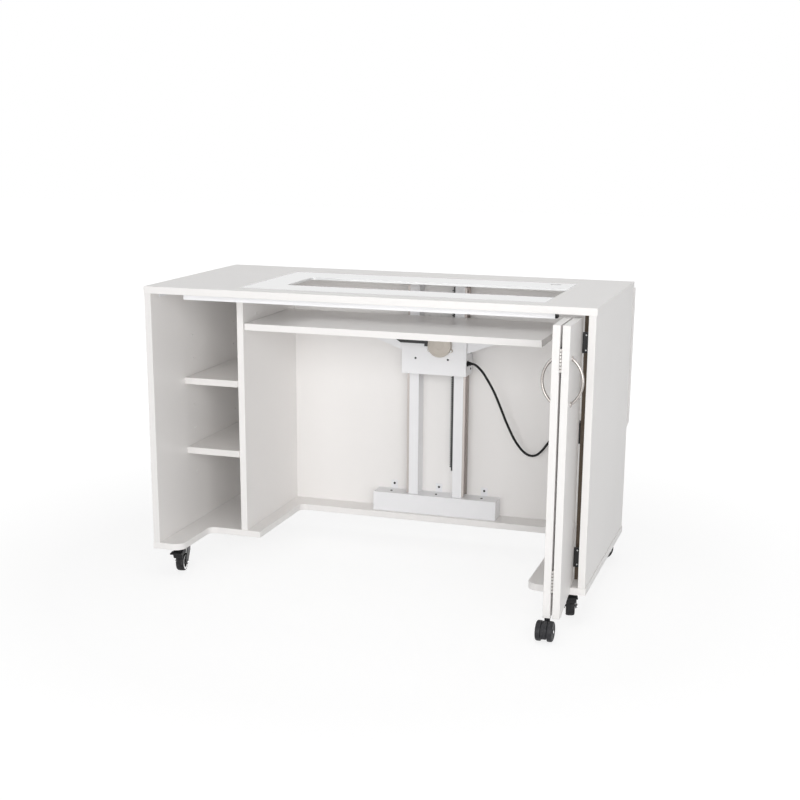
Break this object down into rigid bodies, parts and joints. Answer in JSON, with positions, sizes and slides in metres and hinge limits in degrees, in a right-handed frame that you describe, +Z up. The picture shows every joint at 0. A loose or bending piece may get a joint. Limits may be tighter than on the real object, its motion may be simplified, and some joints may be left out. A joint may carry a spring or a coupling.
{
  "type": "sewing cabinet",
  "caption": "Desk-height sewing cabinet on casters: table top with machine opening, powered machine lift, shelf bay, bi-fold door and rear drop leaf.",
  "frame": {"origin": "on the floor, below the middle of the whole part's box", "axes": "+X along the table top towards the door's end, +Y from the front to the drop leaf, +Z up"},
  "size_m": [1.175, 0.7584, 0.78],
  "materials": {
    "white_laminate": "satin",
    "acrylic_insert": "gloss",
    "white_steel": "satin powder coat",
    "dark_plastic": "matt",
    "dark_steel": "semi-gloss black",
    "tyre_grey": "matt",
    "zinc_steel": "zinc plated",
    "satin_nickel": "satin",
    "chrome_steel": "polished",
    "cast_cap": "painted casting",
    "cable_rubber": "matt"
  },
  "bodies": {
    "cabinet": {"top_panel": "white_laminate", "machine_insert": "acrylic_insert", "left_side_panel": "white_laminate", "right_side_panel": "white_laminate", "back_panel": "white_laminate", "base_board": "white_laminate", "shelf_divider": "white_laminate", "upper_shelf": "white_laminate", "lower_shelf": "white_laminate", "shelf_pins": "chrome_steel", "front_rail": "white_steel", "top_brackets": "white_steel", "screw_covers": "white_laminate", "lift_plinth": "white_steel", "plinth_screws": "dark_steel", "left_column": "white_steel", "right_column": "white_steel", "column_tie_plate": "white_steel", "slide_rails": "zinc_steel", "gear_rack": "dark_plastic", "control_box_shell": "dark_plastic", "door_sealing_strip": "dark_plastic", "door_side_hinges": "dark_steel", "rear_hinge_fixed": "zinc_steel", "caster_plates": "dark_steel"},
    "lift": {"platform_board": "white_laminate", "lift_housing": "white_steel", "platform_arms": "white_steel", "platform_gussets": "white_steel", "motor_gearcase": "cast_cap", "lift_motor": "cast_cap", "motor_clamp_bar": "dark_steel", "slide_members": "zinc_steel", "cable_gland": "dark_plastic", "housing_screws": "dark_steel", "lift_cable": "cable_rubber"},
    "pinion": {"drive_pinion": "zinc_steel"},
    "inner_door": {"inner_door_leaf": "white_laminate", "inner_door_handle": "satin_nickel", "door_side_knuckles": "dark_steel", "fold_hinge_inner": "zinc_steel"},
    "outer_door": {"outer_door_leaf": "white_laminate", "outer_door_handle": "satin_nickel", "fold_hinge_outer": "zinc_steel", "door_caster_stem": "dark_steel"},
    "door_caster": {"door_caster_hood": "dark_plastic"},
    "door_wheels": {"door_caster_wheels": "tyre_grey"},
    "drop_leaf": {"rear_drop_leaf": "white_laminate", "rear_hinge_moving": "zinc_steel"},
    "front_left_caster": {"front_left_fork": "dark_steel"},
    "front_left_roller": {"front_left_wheel": "tyre_grey"},
    "front_left_pedal": {"front_left_brake": "dark_plastic"},
    "front_right_caster": {"front_right_fork": "dark_steel"},
    "front_right_roller": {"front_right_wheel": "tyre_grey"},
    "front_right_pedal": {"front_right_brake": "dark_plastic"},
    "rear_left_caster": {"rear_left_fork": "dark_steel"},
    "rear_left_roller": {"rear_left_wheel": "tyre_grey"},
    "rear_right_caster": {"rear_right_fork": "dark_steel"},
    "rear_right_roller": {"rear_right_wheel": "tyre_grey"}
  },
  "joints": [
    {"name": "lift_slide", "type": "slide", "parent": "cabinet", "child": "lift", "axis": [0, 0, 1], "range_m": [-0.345, 0.085], "deforming": ["lift_cable"]},
    {"name": "pinion_spin", "type": "hinge", "parent": "lift", "child": "pinion", "pos_m": [0.0716, 0.29225, 0.592], "axis": [0, 1, 0], "range_deg": [-830, 210]},
    {"name": "door_swing", "type": "hinge", "parent": "cabinet", "child": "inner_door", "pos_m": [0.529, -0.21825, 0.414], "axis": [0, 0, 1], "range_deg": [-90, 0]},
    {"name": "door_fold", "type": "hinge", "parent": "inner_door", "child": "outer_door", "pos_m": [0.529, -0.34675, 0.414], "axis": [0, 0, 1], "range_deg": [0, 180]},
    {"name": "door_caster_swivel", "type": "hinge", "parent": "outer_door", "child": "door_caster", "pos_m": [0.5175, -0.33025, 0.046], "axis": [0, 0, 1], "continuous": true},
    {"name": "door_caster_roll", "type": "hinge", "parent": "door_caster", "child": "door_wheels", "pos_m": [0.5175, -0.35425, 0.025], "axis": [1, 0, 0], "continuous": true},
    {"name": "drop_leaf_hinge", "type": "hinge", "parent": "cabinet", "child": "drop_leaf", "pos_m": [0, 0.35675, 0.7575], "axis": [1, 0, 0], "range_deg": [0, 90]},
    {"name": "front_left_swivel", "type": "hinge", "parent": "cabinet", "child": "front_left_caster", "pos_m": [-0.5365, -0.14275, 0.069], "axis": [0, 0, 1], "continuous": true},
    {"name": "front_left_roll", "type": "hinge", "parent": "front_left_caster", "child": "front_left_roller", "pos_m": [-0.53337, -0.16048, 0.025], "axis": [0.9848, 0.1736, 0], "continuous": true},
    {"name": "front_left_pedal_press", "type": "hinge", "parent": "front_left_caster", "child": "front_left_pedal", "pos_m": [-0.53346, -0.15998, 0.064], "axis": [0.9848, 0.1736, 0], "range_deg": [0, 12]},
    {"name": "front_right_swivel", "type": "hinge", "parent": "cabinet", "child": "front_right_caster", "pos_m": [0.5365, -0.14275, 0.069], "axis": [0, 0, 1], "continuous": true},
    {"name": "front_right_roll", "type": "hinge", "parent": "front_right_caster", "child": "front_right_roller", "pos_m": [0.54055, -0.16029, 0.025], "axis": [0.9744, 0.225, 0], "continuous": true},
    {"name": "front_right_pedal_press", "type": "hinge", "parent": "front_right_caster", "child": "front_right_pedal", "pos_m": [0.54044, -0.1598, 0.064], "axis": [0.9744, 0.225, 0], "range_deg": [0, 12]},
    {"name": "rear_left_swivel", "type": "hinge", "parent": "cabinet", "child": "rear_left_caster", "pos_m": [-0.5365, 0.31825, 0.069], "axis": [0, 0, 1], "continuous": true},
    {"name": "rear_left_roll", "type": "hinge", "parent": "rear_left_caster", "child": "rear_left_roller", "pos_m": [-0.54682, 0.30351, 0.025], "axis": [0.8192, -0.5736, 0], "continuous": true},
    {"name": "rear_right_swivel", "type": "hinge", "parent": "cabinet", "child": "rear_right_caster", "pos_m": [0.5365, 0.31825, 0.069], "axis": [0, 0, 1], "continuous": true},
    {"name": "rear_right_roll", "type": "hinge", "parent": "rear_right_caster", "child": "rear_right_roller", "pos_m": [0.5455, 0.33384, 0.025], "axis": [-0.866, 0.5, 0], "continuous": true}
  ],
  "couplings": [
    {"joint": "pinion_spin", "follows": "lift_slide", "rad_per_m": 41.667},
    {"joint": "door_fold", "follows": "door_swing", "ratio": -2}
  ]
}
